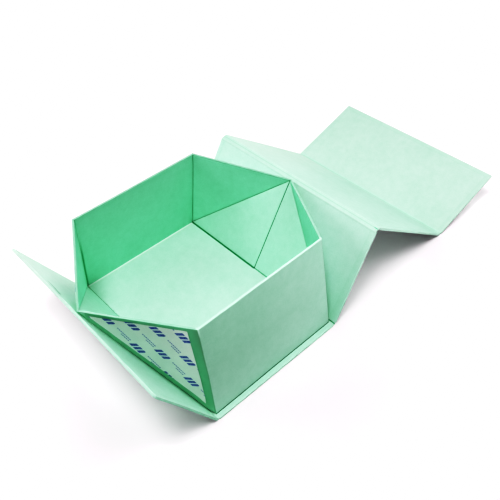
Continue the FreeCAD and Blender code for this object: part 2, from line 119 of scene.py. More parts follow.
def panel(name, place, s0, s1, hw, thick, lining=(None, None, None, None), corners=(0.9, 0.9, 0.9, 0.9),
          r=0.5, bow=None, seed=1.0, step=9.0, lift=0.10, band=0.0, dent=None, underside_shade=0.0,
          wear_and_highlight=(1.0, 1.0, 1.0, 1.0), extra_y=(), wear_and_highlight_width=0.7):
    """A wrapped board.  place(s, y, n) gives a point; s runs along the panel, n
    up through its thickness.  lining: distance of the lining's edge from the
    (s0, s1, -y, +y) edges, None where it runs on over a hinge.  corners: radius
    at (s0,-y), (s1,-y), (s0,+y), (s1,+y)."""
    def offsets(edge):
        lines = [0.35, max(0.8, wear_and_highlight_width)]
        if edge is not None:
            lines += [edge - 0.42, edge - 0.12, edge + 0.04, edge + 0.4]
        return lines
    big = max(corners)
    extra = [big * k / 6.0 for k in range(1, 7)] if big > 2 else [max(big - r, 0.05) * 0.5, max(big - r, 0.05)]
    S = spaced(s0 + r, s1 - r, offsets(lining[0]) + extra, offsets(lining[1]) + extra, step)
    Y = spaced(-hw + r, hw - r, offsets(lining[2]) + extra, offsets(lining[3]) + extra, step)
    Y = sorted(Y + list(extra_y))
    ns, ny = len(S), len(Y)
    a0, a1, b0, b1 = S[0], S[-1], Y[0], Y[-1]

    def rounded(s, y):
        """Moves a grid point so that the outline's corners are round."""
        for (cs, cy, ds, dy, rad) in ((a0, b0, -1, -1, corners[0]), (a1, b0, 1, -1, corners[1]),
                                      (a0, b1, -1, 1, corners[2]), (a1, b1, 1, 1, corners[3])):
            rho = max(rad - r, 0.05)
            ps, py = cs - ds * rho, cy - dy * rho
            u, v = (s - ps) * ds / rho, (y - py) * dy / rho
            if u > 0 and v > 0:
                u2, v2 = u * math.sqrt(1 - v * v / 2), v * math.sqrt(1 - u * u / 2)
                return ps + ds * rho * u2, py + dy * rho * v2, (u2 * ds, v2 * dy)
        return s, y, None

    def seam_of(s, y):
        """(0..1 inside the lining, 0..1 on its edge line)"""
        depth = 1e9
        for value, edge in ((s - s0, lining[0]), (s1 - s, lining[1]), (y + hw, lining[2]), (hw - y, lining[3])):
            if edge is not None:
                depth = min(depth, value - edge)
        if depth > 1e8:
            return 0.0, 0.0
        inside = min(1.0, max(0.0, (depth + 0.12) / 0.16))
        line = max(0.0, 1.0 - abs(depth + 0.12) / 0.26)
        return inside, line

    verts, uvs, edge, seam, crease_shade, faces = [], [], [], [], [], []
    has_lining = any(v is not None for v in lining)

    def add(s, y, n, e, q, k=0.0):
        lift_n = bow(s, y) if bow else 0.0
        crease_shade.append(k)
        verts.append(place(s, y, n + lift_n))
        uvs.append((y * MM, s * MM))
        edge.append(e)
        seam.append(q)
        return len(verts) - 1

    grid = {}
    for side in ("top", "bottom"):
        for i, s in enumerate(S):
            for j, y in enumerate(Y):
                rs, ry, _ = rounded(s, y)
                border = min(i, ns - 1 - i, j, ny - 1 - j)
                near = min(s - a0, a1 - s, y - b0, b1 - y)
                e = max(w * max(0.0, 1.0 - d / wear_and_highlight_width) for w, d in zip(wear_and_highlight, (s - a0, a1 - s, y - b0, b1 - y)))
                wave = 0.05 * hash_wave(s, y, seed + (0 if side == "top" else 3))
                fade = min(1.0, near / 12.0)
                if side == "top":
                    if band and s > s1 - lining[1]:
                        e = max(e, band)
                    inside, line = seam_of(s, y) if has_lining else (0.0, 0.0)
                    n = thick + lift * inside * (1 if has_lining else 0) + wave * fade
                    grid[side, i, j] = add(rs, ry, n, e, max(line, dent(s, y) if dent else 0.0))
                else:
                    grid[side, i, j] = add(rs, ry, 0.0 - min(0.0, 0) + max(0.0, wave * fade) , e, 0.0)
        for i in range(ns - 1):
            for j in range(ny - 1):
                q = [grid[side, i, j], grid[side, i + 1, j], grid[side, i + 1, j + 1], grid[side, i, j + 1]]
                faces.append(q if side == "top" else q[::-1])
    loop = [(i, 0) for i in range(ns)] + [(ns - 1, j) for j in range(1, ny)] + \
           [(i, ny - 1) for i in range(ns - 2, -1, -1)] + [(0, j) for j in range(ny - 2, 0, -1)]
    # outward direction in the panel's plane at each point of the outline
    steps = 4
    profile = [(math.sin(k * math.pi / 2 / steps), 1 - math.cos(k * math.pi / 2 / steps)) for k in range(1, steps + 1)]
    rings = [[grid["top", i, j] for i, j in loop]]
    for part in ("upper", "lower"):
        seq = profile if part == "upper" else profile[::-1]
        for out, down in seq:
            if part == "lower" and out >= 1.0 and thick <= 2 * r:
                continue
            ring = []
            for i, j in loop:
                rs, ry, rnd = rounded(S[i], Y[j])
                if rnd is not None:
                    m = math.hypot(*rnd) or 1.0
                    d = (rnd[0] / m, rnd[1] / m)
                else:
                    d = (0.0, 0.0)
                    if i == 0: d = (-1.0, d[1])
                    if i == ns - 1: d = (1.0, d[1])
                    if j == 0: d = (d[0], -1.0)
                    if j == ny - 1: d = (d[0], 1.0)
                    m = math.hypot(*d) or 1.0
                    d = (d[0] / m, d[1] / m)
                inside, _ = seam_of(S[i], Y[j]) if has_lining else (0.0, 0.0)
                top = thick + (lift * inside if has_lining else 0.0)
                n = top - r * down if part == "upper" else r * down
                side = 1 if d[0] > 0.5 else 0 if d[0] < -0.5 else 2 if d[1] < 0 else 3
                # painted shade: the lower half of the board's rounded side is darkened, and its pale edge taken back
                dark = underside_shade[side] if isinstance(underside_shade, tuple) else underside_shade
                low = part == "lower" or down > 0.9
                ring.append(add(rs + d[0] * r * out, ry + d[1] * r * out, n, wear_and_highlight[side] * (1.0 - min(1.0, dark) * low), 0.0, dark if low else 0.0))
            rings.append(ring)
    rings.append([grid["bottom", i, j] for i, j in loop])
    count = len(loop)
    for a, b in zip(rings, rings[1:]):
        for k in range(count):
            k2 = (k + 1) % count
            faces.append([a[k], b[k], b[k2], a[k2]])
    obj = new_object(name, verts, faces, {"edge": edge, "seam": seam, "crease_shade": crease_shade}, uvs)
    bm = bmesh.new()
    bm.from_mesh(obj.data)
    bmesh.ops.recalc_face_normals(bm, faces=bm.faces)
    bm.to_mesh(obj.data)
    bm.free()
    sharpen(obj, 50)
    return obj


def along(origin, angle, flip=1):
    """Point function of a panel on a hinge axis; flip -1 for one that runs to -X."""
    c, s = math.cos(angle), math.sin(angle)

    def place(d, y, n):
        return (origin[0] + flip * (d * c - n * s), y, origin[1] + d * s + n * c)
    return place


# -------------------------------------------------------------------- materials
def node_mat(name):
    mat = bpy.data.materials.new(name)
    mat.use_nodes = True
    nt = mat.node_tree
    for n in list(nt.nodes):
        nt.nodes.remove(n)
    out = nt.nodes.new("ShaderNodeOutputMaterial")
    bsdf = nt.nodes.new("ShaderNodeBsdfPrincipled")
    nt.links.new(bsdf.outputs[0], out.inputs[0])
    return mat, nt, bsdf


def noise_node(nt, coord, scale, detail=3.0, rough=0.5, stretch=None):
    n = nt.nodes.new("ShaderNodeTexNoise")
    n.inputs["Scale"].default_value = scale
    n.inputs["Detail"].default_value = detail
    n.inputs["Roughness"].default_value = rough
    if stretch is not None:
        m = nt.nodes.new("ShaderNodeMapping")
        m.inputs["Scale"].default_value = stretch
        nt.links.new(coord, m.inputs["Vector"])
        nt.links.new(m.outputs[0], n.inputs["Vector"])
    else:
        nt.links.new(coord, n.inputs["Vector"])
    return n.outputs["Fac"]


def math_node(nt, op, a, b=None, clamp=False):
    n = nt.nodes.new("ShaderNodeMath")
    n.operation = op
    n.use_clamp = clamp
    for k, v in enumerate((a, b)):
        if v is None:
            continue
        if isinstance(v, (int, float)):
            n.inputs[k].default_value = v
        else:
            nt.links.new(v, n.inputs[k])
    return n.outputs[0]


def map_range(nt, v, a, b, c, d):
    n = nt.nodes.new("ShaderNodeMapRange")
    nt.links.new(v, n.inputs["Value"])
    for key, val in (("From Min", a), ("From Max", b), ("To Min", c), ("To Max", d)):
        n.inputs[key].default_value = val
    return n.outputs[0]


def mix_col(nt, fac, a, b, mode="MIX"):
    n = nt.nodes.new("ShaderNodeMix")
    n.data_type = "RGBA"
    n.blend_type = mode
    if isinstance(fac, (int, float)):
        n.inputs[0].default_value = fac
    else:
        nt.links.new(fac, n.inputs[0])
    for k, v in ((6, a), (7, b)):
        if isinstance(v, tuple):
            n.inputs[k].default_value = v + (1.0,)
        else:
            nt.links.new(v, n.inputs[k])
    return n.outputs[2]


def attr(nt, name):
    n = nt.nodes.new("ShaderNodeAttribute")
    n.attribute_name = name
    return n.outputs["Fac"]


MINT = (0.494, 0.762, 0.62)
PALE = (0.80, 0.90, 0.85)
DEEP = (0.075, 0.43, 0.215)
DARK = (0.012, 0.085, 0.040)
SHADE_BAND_GREEN = (0.212, 0.540, 0.340)
PAINTED_SHADOW_GREEN = (0.19, 0.37, 0.25)


def paper(name, base=MINT, pale=PALE, deep=DEEP, edge_gain=0.55, seam_gain=0.3, crease_shade_gain=1.0, grain=1.0, attributes=("edge", "seam"), broken=False, thin_dark_line=None, ragged=0.6, painted_light_ramp=None):
    mat, nt, bsdf = node_mat(name)
    coord = nt.nodes.new("ShaderNodeTexCoord").outputs["Object"]
    cloud = noise_node(nt, coord, 14.0, 4.0, 0.55)
    fibre = noise_node(nt, coord, 900.0, 3.0, 0.6)
    speck = noise_node(nt, coord, 2600.0, 2.0, 0.6)
    blot = noise_node(nt, coord, 130.0, 3.0, 0.6)
    tone = math_node(nt, "ADD", math_node(nt, "ADD", map_range(nt, cloud, 0.3, 0.7, -0.2, 0.2),
                     map_range(nt, blot, 0.3, 0.7, -0.18, 0.18)), map_range(nt, fibre, 0.3, 0.7, -0.2, 0.2))
    dark = tuple(c * k for c, k in zip(base, (0.88, 0.94, 0.91)))
    light = tuple(min(1.0, c * k) for c, k in zip(base, (1.12, 1.06, 1.09)))
    col = mix_col(nt, math_node(nt, "ADD", tone, 0.5, True), dark, light)
    # painted light: towards one end along an axis the colour is multiplied to a paler tint, standing in for the
    # stronger light on that end of the panel
    if painted_light_ramp:
        axis, lo, hi, by = painted_light_ramp
        sep = nt.nodes.new("ShaderNodeSeparateXYZ")
        nt.links.new(coord, sep.inputs[0])
        col = mix_col(nt, map_range(nt, sep.outputs[axis], lo, hi, 0.0, 1.0), col, mix_col(nt, 1.0, col, by, "MULTIPLY"))
    # painted light and shade on the tray's inside: from 0 to 1 a brighter, greener tint comes in (painted light), from
    # 1 to 2 it turns to a deeper, less red one (painted shade)
    if "painted_shade" in attributes:
        painted_shade_tint = map_range(nt, attr(nt, "painted_shade"), 1.0, 2.0, 0.0, 1.0)
        painted_shade_tint = mix_col(nt, painted_shade_tint, (0.94, 1.12, 1.07), (0.77, 1.02, 0.94))
        col = mix_col(nt, map_range(nt, attr(nt, "painted_shade"), 0.0, 1.0, 0.0, 1.0), col, mix_col(nt, 1.0, col, painted_shade_tint, "MULTIPLY"))
    # darkens the paper: painted shade on the tray's near and far outer walls, and the darker rims
    if "dim_rims_and_painted_shade" in attributes:
        col = mix_col(nt, attr(nt, "dim_rims_and_painted_shade"), col, mix_col(nt, 1.0, col, (0.50, 0.60, 0.54), "MULTIPLY"))
    # painted shade: a deeper green band round the adhesive pads and along the outer folds
    if "painted_shade_band" in attributes:
        col = mix_col(nt, attr(nt, "painted_shade_band"), col, mix_col(nt, math_node(nt, "ADD", tone, 0.5, True), tuple(c * 0.92 for c in SHADE_BAND_GREEN), tuple(c * 1.07 for c in SHADE_BAND_GREEN)))
    # painted shadow: a dark green along the outer corner folds and high on the pads' borders
    if "painted_shadow" in attributes:
        col = mix_col(nt, attr(nt, "painted_shadow"), col, PAINTED_SHADOW_GREEN)
    # paler edges: worn paper, and a painted highlight on the ridge strip's two bends and along the floor card's far
    # edge
    if "edge" in attributes:
        worn = math_node(nt, "MULTIPLY", attr(nt, "edge"), map_range(nt, noise_node(nt, coord, 160.0, 3.0), 0.3, 0.75, 1.0 - ragged, 1.0), True)
        col = mix_col(nt, math_node(nt, "MULTIPLY", worn, edge_gain, True), col, pale)
    if "seam" in attributes:
        col = mix_col(nt, math_node(nt, "MULTIPLY", attr(nt, "seam"), seam_gain, True), col, deep)
    # painted shade: folds, gaps, contacts and board undersides darkened to deep green, the strongest to near black
    if "crease_shade" in attributes:
        depth = attr(nt, "crease_shade")
        if broken:
            depth = math_node(nt, "MULTIPLY", depth, map_range(nt, noise_node(nt, coord, 170.0, 2.0), 0.42, 0.6, 0.15, 1.0), True)
        depth = math_node(nt, "MULTIPLY", depth, crease_shade_gain)
        col = mix_col(nt, map_range(nt, depth, 0.0, 0.5, 0.0, 1.0), col, deep)
        col = mix_col(nt, map_range(nt, depth, 0.5, 1.0, 0.0, 1.0), col, DARK)
    # a thin dark line between two given points on the panel
    if thin_dark_line:
        a, b = (Vector(c) * MM for c in thin_dark_line)
        d = b - a
        rel = nt.nodes.new("ShaderNodeVectorMath")
        rel.operation = "SUBTRACT"
        nt.links.new(coord, rel.inputs[0])
        rel.inputs[1].default_value = a
        dot = nt.nodes.new("ShaderNodeVectorMath")
        dot.operation = "DOT_PRODUCT"
        nt.links.new(rel.outputs[0], dot.inputs[0])
        dot.inputs[1].default_value = d / d.length_squared
        t = math_node(nt, "ADD", dot.outputs["Value"], 0.0, True)
        foot = nt.nodes.new("ShaderNodeVectorMath")
        foot.operation = "SCALE"
        foot.inputs[0].default_value = d
        nt.links.new(t, foot.inputs["Scale"])
        away = nt.nodes.new("ShaderNodeVectorMath")
        away.operation = "DISTANCE"
        nt.links.new(rel.outputs[0], away.inputs[0])
        nt.links.new(foot.outputs[0], away.inputs[1])
        mark = map_range(nt, away.outputs["Value"], 0.55 * MM, 1.15 * MM, 1.0, 0.0)
        col = mix_col(nt, math_node(nt, "MULTIPLY", mark, math_node(nt, "ADD", t, 0.35), True), col, (0.10, 0.27, 0.18))
    nt.links.new(col, bsdf.inputs["Base Color"])
    bsdf.inputs["Roughness"].default_value = 0.72
    bsdf.inputs["Specular IOR Level"].default_value = 0.32
    bump1 = nt.nodes.new("ShaderNodeBump")
    bump1.inputs["Strength"].default_value = 0.10 * grain
    bump1.inputs["Distance"].default_value = 0.00025
    nt.links.new(math_node(nt, "ADD", fibre, math_node(nt, "MULTIPLY", speck, 0.5)), bump1.inputs["Height"])
    bump2 = nt.nodes.new("ShaderNodeBump")
    bump2.inputs["Strength"].default_value = 0.22 * grain
    bump2.inputs["Distance"].default_value = 0.004
    nt.links.new(noise_node(nt, coord, 11.0, 2.0, 0.4), bump2.inputs["Height"])
    nt.links.new(bump1.outputs[0], bump2.inputs["Normal"])
    nt.links.new(bump2.outputs[0], bsdf.inputs["Normal"])
    return mat


def liner_mat():
    """Release liner: waxed pale paper with a plain repeat of bars and broken lines."""
    mat, nt, bsdf = node_mat("release_liner")
    tex = nt.nodes.new("ShaderNodeTexCoord")
    coord = tex.outputs["Object"]
    turn = nt.nodes.new("ShaderNodeMapping")
    turn.inputs["Scale"].default_value = (1000.0, 1000.0, 1000.0)
    turn.inputs["Rotation"].default_value = (0.0, 0.0, math.radians(-56.0))
    nt.links.new(tex.outputs["UV"], turn.inputs["Vector"])
    sep = nt.nodes.new("ShaderNodeSeparateXYZ")
    nt.links.new(turn.outputs[0], sep.inputs[0])
    M = lambda op, a, b=None, clamp=False: math_node(nt, op, a, b, clamp)
    row_h, rep_l = 15.5, 34.0
    row = M("FLOOR", M("DIVIDE", sep.outputs["Y"], row_h))
    v = M("SUBTRACT", M("SUBTRACT", sep.outputs["Y"], M("MULTIPLY", row, row_h)), row_h / 2)
    u0 = M("ADD", sep.outputs["X"], M("MULTIPLY", row, 13.5))
    u = M("SUBTRACT", u0, M("MULTIPLY", M("FLOOR", M("DIVIDE", u0, rep_l)), rep_l))

    def between(x, lo, hi, soft=0.12):
        a = map_range(nt, x, lo - soft, lo + soft, 0.0, 1.0)
        b = map_range(nt, x, hi - soft, hi + soft, 1.0, 0.0)
        return M("MULTIPLY", a, b, True)
    # three bold slanted bars
    us = M("ADD", u, M("MULTIPLY", v, 0.45))
    bar = M("SUBTRACT", us, M("MULTIPLY", M("FLOOR", M("DIVIDE", us, 4.2)), 4.2))
    bars = M("MULTIPLY", M("MULTIPLY", between(bar, 0.6, 3.5), between(us, 0.2, 12.6)), between(v, -3.1, 3.1))
    # two broken thin lines beside them
    dash = M("SUBTRACT", u, M("MULTIPLY", M("FLOOR", M("DIVIDE", u, 1.9)), 1.9))
    d1 = M("MULTIPLY", M("MULTIPLY", between(dash, 0.2, 1.65), between(u, 15.0, 30.0)), between(v, 0.7, 1.7))
    d2 = M("MULTIPLY", M("MULTIPLY", between(dash, 0.2, 1.65), between(u, 15.0, 24.0)), between(v, -1.5, -0.5))
    ink = M("MAXIMUM", bars, M("MULTIPLY", M("MAXIMUM", d1, d2), 0.8), True)
    worn = map_range(nt, noise_node(nt, coord, 900.0, 3.0), 0.3, 0.7, 1.0, 0.75)
    ink = M("MULTIPLY", ink, worn, True)
    cloud = noise_node(nt, coord, 60.0, 3.0)
    fine = noise_node(nt, coord, 1400.0, 2.0)
    col = mix_col(nt, map_range(nt, cloud, 0.3, 0.7, 0.0, 1.0), (0.715, 0.81, 0.75), (0.79, 0.87, 0.81))
    col = mix_col(nt, map_range(nt, fine, 0.35, 0.7, 0.0, 0.35), col, (0.66, 0.74, 0.70))
    col = mix_col(nt, ink, col, (0.05, 0.10, 0.42))
    nt.links.new(col, bsdf.inputs["Base Color"])
    bsdf.inputs["Roughness"].default_value = 0.42
    bsdf.inputs["Specular IOR Level"].default_value = 0.45
    bump = nt.nodes.new("ShaderNodeBump")
    bump.inputs["Strength"].default_value = 0.15
    bump.inputs["Distance"].default_value = 0.002
    nt.links.new(noise_node(nt, coord, 45.0, 2.0), bump.inputs["Height"])
    nt.links.new(bump.outputs[0], bsdf.inputs["Normal"])
    return mat


def metal_mat(name, colour, rough):
    mat, nt, bsdf = node_mat(name)
    coord = nt.nodes.new("ShaderNodeTexCoord").outputs["Object"]
    col = mix_col(nt, map_range(nt, noise_node(nt, coord, 300.0), 0.3, 0.7, 0.0, 1.0), colour, tuple(c * 0.85 for c in colour))
    nt.links.new(col, bsdf.inputs["Base Color"])
    bsdf.inputs["Metallic"].default_value = 1.0
    bsdf.inputs["Roughness"].default_value = rough
    return mat


def tint(r, g, b):
    return (MINT[0] * r, MINT[1] * g, MINT[2] * b)


# One mint paper throughout: the different tints of these materials are painted light and shade, each set to its panel's
# tone under the light; the painted light ramps make the back panel's top and the lid's and front panel's far ends
# paler.
CASE = paper("mint_case_paper", base=tint(0.945, 0.97, 0.965), edge_gain=0.05, painted_light_ramp=("Z", 0.02, 0.085, (1.13, 1.02, 1.06)), attributes=("edge", "seam", "crease_shade"))
BASECASE = paper("mint_base_paper", base=tint(1.02, 0.975, 0.99), edge_gain=0.1, seam_gain=0.1, attributes=("edge", "seam", "crease_shade"))
LIDCASE = paper("mint_lid_paper", base=tint(0.915, 0.88, 0.895), edge_gain=0.12, painted_light_ramp=("Y", 0.02, 0.09, (1.10, 1.01, 1.03)), attributes=("edge", "seam", "crease_shade"))
FLAPCASE = paper("mint_flap_paper", base=tint(1.02, 0.91, 0.95), edge_gain=0.03, attributes=("edge", "seam", "crease_shade"))
FRONTCASE = paper("mint_front_paper", base=tint(0.955, 0.98, 0.965), edge_gain=0.12, painted_light_ramp=("Y", -0.02, 0.07, (1.06, 0.88, 0.94)), attributes=("edge", "seam", "crease_shade"), thin_dark_line=((-116.898, 52.842, 83.758), (-117.892, 31.360, 85.551)))
TRAY = paper("mint_tray_paper", edge_gain=1.0, ragged=0.25, pale=(0.63, 0.86, 0.745), attributes=("edge", "crease_shade", "painted_shade_band", "painted_shadow", "painted_shade", "dim_rims_and_painted_shade"))
FLOORCARD = paper("mint_floor_paper", base=tint(1.05, 0.93, 0.985), pale=(0.97, 0.99, 0.95), edge_gain=1.0, ragged=0.25, attributes=("edge", "crease_shade"))
STRIP = paper("mint_hinge_paper", base=tint(0.96, 0.92, 0.93), attributes=("edge", "crease_shade"), broken=False)
LINER = liner_mat()


def dress(obj, mat, body=None, replaced=()):
    obj.data.materials.clear()
    obj.data.materials.append(mat)
    if body is not None:
        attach(obj, body)
    if replaced:
        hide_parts(*replaced)
    return obj


# ------------------------------------------------------------------- the case
LIP = 5.6


def flare(x, y, much=1.0):
    """The case's near edge stands a little further out at the base, most at the back hinge."""
    return y - much * (1.75 + 0.85 * min(1.0, max(0.0, (x + AX) / (2 * AX)))) * min(1.0, max(0.0, (-y - 97.0) / 4.5))


def base_place(s, y, n):
    return (s, flare(s, y), n)


def flared(place, span):
    """A wall panel whose near edge runs in from the base's."""
    def put(d, y, n):
        x, _, z = place(d, y, n)
        return (x, flare(AX if x > 0 else -AX, y, max(0.0, 1.0 - d / span)), z)
    return put


base = panel("case_base", base_place, -(AX - HG), AX - HG, HW, TC, lining=(None, None, LIP, LIP), seed=1.0)
dress(base, BASECASE, "base", ["base_panel"])


def spring(size, span, seed):
    """A board's slow warp, nothing at its hinge."""
    def bow(s, y):
        return size * min(1.0, max(0.0, s) / span) * hash_wave(s * 0.8, y * 0.8, seed)
    return bow


def front_bow(s, y):
    """The free edge of the front panel has sprung a little, most at its near corner."""
    t = max(0.0, (s - 20.0) / (FRONT - 20.0))
    return -0.9 * t * t * max(0.0, -y / HW) ** 1.5 + 0.15 * t * hash_wave(s, y, 9.0)


front = panel("case_front", flared(along((-AX, 0.0), FA, -1), 70.0), HG, FRONT, HW, TC, lining=(None, 2.6, LIP, LIP),
              corners=(0.9, 3.1, 0.9, 0.9), seed=2.0, bow=front_bow, band=0.25, wear_and_highlight=(0.0, 1.0, 0.4, 1.0), underside_shade=(0.0, 0.0, 0.16, 0.0))
dress(front, FRONTCASE, "front", ["front_panel"])

back = panel("case_back", flared(along((AX, 0.0), BA), 90.0), HG, BACK - RG, HW, TC, lining=(None, None, LIP, LIP), seed=3.0, bow=lambda s, y: 0.15 * math.sin(math.pi * min(1.0, s / 98.0)) * hash_wave(s, y, 3.0))
dress(back, CASE, "back", ["back_panel"])

lid = panel("case_lid", along(RIDGE, -LA), RG, LID - HG, HW, TC, lining=(None, None, LIP, LIP), seed=4.0, bow=lambda s, y: 0.2 * math.sin(math.pi * min(1.0, s / 145.0)) * hash_wave(s, y, 4.0))
dress(lid, LIDCASE, "lid", ["lid_panel"])

flap = panel("case_closing_flap", along(VALLEY, PA), HG, FLAP, HW, TC, lining=(None, LIP, LIP, LIP), seed=5.0, bow=spring(0.25, 60.0, 5.0))
dress(flap, FLAPCASE, "flap", ["closing_flap"])


# --------------------------------------------------------------- paper hinges
def resample(path, n, rounds):
    pts = np.array(path, float)
    d = np.r_[0, np.cumsum(np.hypot(*np.diff(pts, axis=0).T))]
    t = np.linspace(0, d[-1], n)
    x, z = np.interp(t, d, pts[:, 0]), np.interp(t, d, pts[:, 1])
    for _ in range(rounds):
        x[1:-1] = (x[:-2] + 2 * x[1:-1] + x[2:]) / 4
        z[1:-1] = (z[:-2] + 2 * z[1:-1] + z[2:]) / 4
    return x, z, t / d[-1]


def hinge(name, lower, upper, node, bodies, upper_wear_and_highlight, upper_crease_shade, rounds=2):
    """Wrap and lining where two boards meet, as one closed strip along Y.
    lower and upper: (x, z) paths of its outer wrap and its lining, -X to +X."""
    n = 27
    lx, lz, lt = resample(lower, n, rounds)
    ux, uz, ut = resample(upper, n, rounds)
    Y = np.linspace(-HW + 0.7, HW - 0.7, 81)
    verts, faces, crease_shade, edge, uvs = [], [], [], [], []
    for layer, (x, z, t) in enumerate(((lx, lz, lt), (ux, uz, ut))):
        for y in Y:
            wobble = 0.05 * hash_wave(y * 3.0, layer * 50.0, 6.0)
            for i in range(n):
                fade = math.sin(math.pi * t[i])
                verts.append((x[i] + wobble * fade, flare(x[i], y) if bodies[0] == "base" or bodies[1] == "base" else y, z[i] + wobble * fade))
                crease_shade.append(upper_crease_shade(t[i], y) if layer else 0.0)
                edge.append(upper_wear_and_highlight(t[i]) if layer else 0.3)
                uvs.append((y * MM, (x[i] + z[i]) * MM))
    m = n * len(Y)
    for j in range(len(Y) - 1):
        for i in range(n - 1):
            a = j * n + i
            faces.append([a, a + n, a + n + 1, a + 1])
            faces.append([m + a, m + a + 1, m + a + n + 1, m + a + n])
        a = j * n
        faces.append([a, m + a, m + a + n, a + n])
        a = j * n + n - 1
        faces.append([a, a + n, m + a + n, m + a])
    for i in range(n - 1):
        faces.append([i, i + 1, m + i + 1, m + i])
        a = (len(Y) - 1) * n + i
        faces.append([a, m + a, m + a + 1, a + 1])
    obj = new_object(name, verts, faces, {"edge": edge, "crease_shade": crease_shade}, uvs)
    bm = bmesh.new()
    bm.from_mesh(obj.data)
    bmesh.ops.recalc_face_normals(bm, faces=bm.faces)
    bm.to_mesh(obj.data)
    bm.free()
    sharpen(obj, 50)
    dress(obj, STRIP)
    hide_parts(node)
    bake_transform(obj)
    return obj


def pt(origin, angle, d, up):
    return (origin[0] + d * math.cos(angle) - up * math.sin(angle), origin[1] + d * math.sin(angle) + up * math.cos(angle))


def flip_x(path):
    return [(-x, z) for x, z in path][::-1]


def base_hinge(angle):
    o = (AX, 0.0)
    lower = [(AX - HG - 0.2, 0.1), (AX - 0.7, 0.05), (AX + 0.05, 0.12), pt(o, angle, 0.9, 0.10), pt(o, angle, HG + 0.2, 0.12)]
    upper = [(AX - HG - 0.9, TC + 0.07), (AX - HG + 0.1, TC + 0.05), (AX - 0.9, TC + 0.1), pt(o, angle, HG + 0.1, TC + 0.13), pt(o, angle, HG + 1.2, TC + 0.14)]
    return lower, upper


inner_edge = lambda t: 0.05
# painted shade along a hinge's inner fold: a dark line peaking at t = at, stronger by near within 5 mm of the near end
soft = lambda at, wide, top, near=0.0: (lambda t, y: (top + near * (y < -HW + 5.0)) * max(0.0, 1.0 - abs(t - at) / wide))
lower, upper = base_hinge(BA)
hinge("hinge_back", lower, upper, "back_hinge_paper", ("base", "back"), inner_edge, soft(0.55, 0.2, 0.9))
lower, upper = base_hinge(FA)
hinge("hinge_front", flip_x(lower), flip_x(upper), "front_hinge_paper", ("front", "base"), inner_edge, soft(0.45, 0.2, 0.3))

ridge_lower = [pt(RIDGE, BA, -RG - 0.2, 0.15), pt(RIDGE, BA, -RG + 0.5, 0.2), pt(RIDGE, -LA, RG - 0.5, 0.2), pt(RIDGE, -LA, RG + 0.2, 0.15)]
ridge_upper = [pt(RIDGE, BA, -RG - 1.5, TC + 0.11), pt(RIDGE, BA, -RG - 0.3, TC + 0.16), pt(RIDGE, BA, -RG + 0.2, TC + 0.14),
               (RIDGE[0] - 0.3, RIDGE[1] + 0.42), (RIDGE[0] + 0.5, RIDGE[1] + 0.58),
               pt(RIDGE, -LA, RG - 0.2, TC + 0.14), pt(RIDGE, -LA, RG + 0.3, TC + 0.16), pt(RIDGE, -LA, RG + 1.5, TC + 0.11)]
# ridge strip: painted highlight on its two bends, painted shade down its centre line, more at the near end
hinge("hinge_ridge", ridge_lower, ridge_upper, "ridge_hinge_paper", ("back", "lid"),
      lambda t: 0.12 + 0.45 * max(0.0, 1 - min(abs(t - 0.20), abs(t - 0.80)) / 0.07), soft(0.52, 0.05, 0.2, 0.6), rounds=1)
valley_lower = [pt(VALLEY, -LA, -HG - 0.2, 0.15), pt(VALLEY, -LA, -0.6, 0.15), (VALLEY[0], VALLEY[1] + 0.84), pt(VALLEY, PA, 0.7, 0.6), pt(VALLEY, PA, HG + 0.2, 0.15)]
valley_lower = [pt(VALLEY, -LA, -HG - 0.2, 0.15), (VALLEY[0] - 1.2, 0.45), (VALLEY[0], 0.12), (VALLEY[0] + 1.2, 0.3), pt(VALLEY, PA, HG + 0.2, 0.15)]
valley_upper = [pt(VALLEY, -LA, -HG - 1.6, TC + 0.11), pt(VALLEY, -LA, -HG - 0.2, TC + 0.14), (VALLEY[0] + 0.2, 2.35),
                pt(VALLEY, PA, HG + 0.2, TC + 0.14), pt(VALLEY, PA, HG + 1.6, TC + 0.11)]
hinge("hinge_flap", valley_lower, valley_upper, "flap_hinge_paper", ("lid", "flap"),
      lambda t: 0.1, soft(0.5, 0.12, 0.16))


# ------------------------------------------------------------------- the tray
def solve3(planes):
    A = np.array([p[0] for p in planes], float)
    b = np.array([p[1] for p in planes], float)
    return np.linalg.solve(A, b)


# where the hand-folded corners have settled, against the ideal fold: (point, shift)
SETTLED = (
    ((-69, -100, 2.5), (-1.1, 0.2, -0.05)), ((69, -100, 2.5), (0.8, 0.0, 0.0)), ((69, 100, 2.5), (0, 0, 0)), ((-69, 100, 2.5), (-0.6, 0, 0)),
    ((-69, -85.9, 101.5), (0.7, -0.7, 0)), ((69, -85.9, 101.5), (-0.4, 0.4, 0)), ((69, 85.9, 101.5), (0, 0, 0)), ((-69, 85.9, 101.5), (0, 0, 0)),
    ((-118.7, 0, 89.3), (-0.9, 2.7, 0)), ((118.7, 0, 89.3), (0.45, -1.5, 0)), ((-69, 0, 2.5), (-1.0, 1.0, 0)), ((69, 0, 2.5), (0, -0.8, 0)),
    ((-69, -93, 52), (0.15, -1.3, 0)), ((69, -93, 52), (-0.1, -0.2, 0)), ((0, -85.9, 101.5), (0, 0, 0)), ((0, 85.9, 101.5), (0, 0, 0)),
    ((0, -100, 2.5), (0, 0.3, 0)), ((0, 100, 2.5), (0, 0, 0)), ((69, 93, 52), (0, 0, 0)), ((-69, 93, 52), (0, 0, 0)),
)
_pts = np.array([a for a, b in SETTLED], float)
_off = np.array([b for a, b in SETTLED], float)
_ker = np.linalg.norm(_pts[:, None] - _pts[None], axis=2)
_wts = np.linalg.solve(_ker, _off)


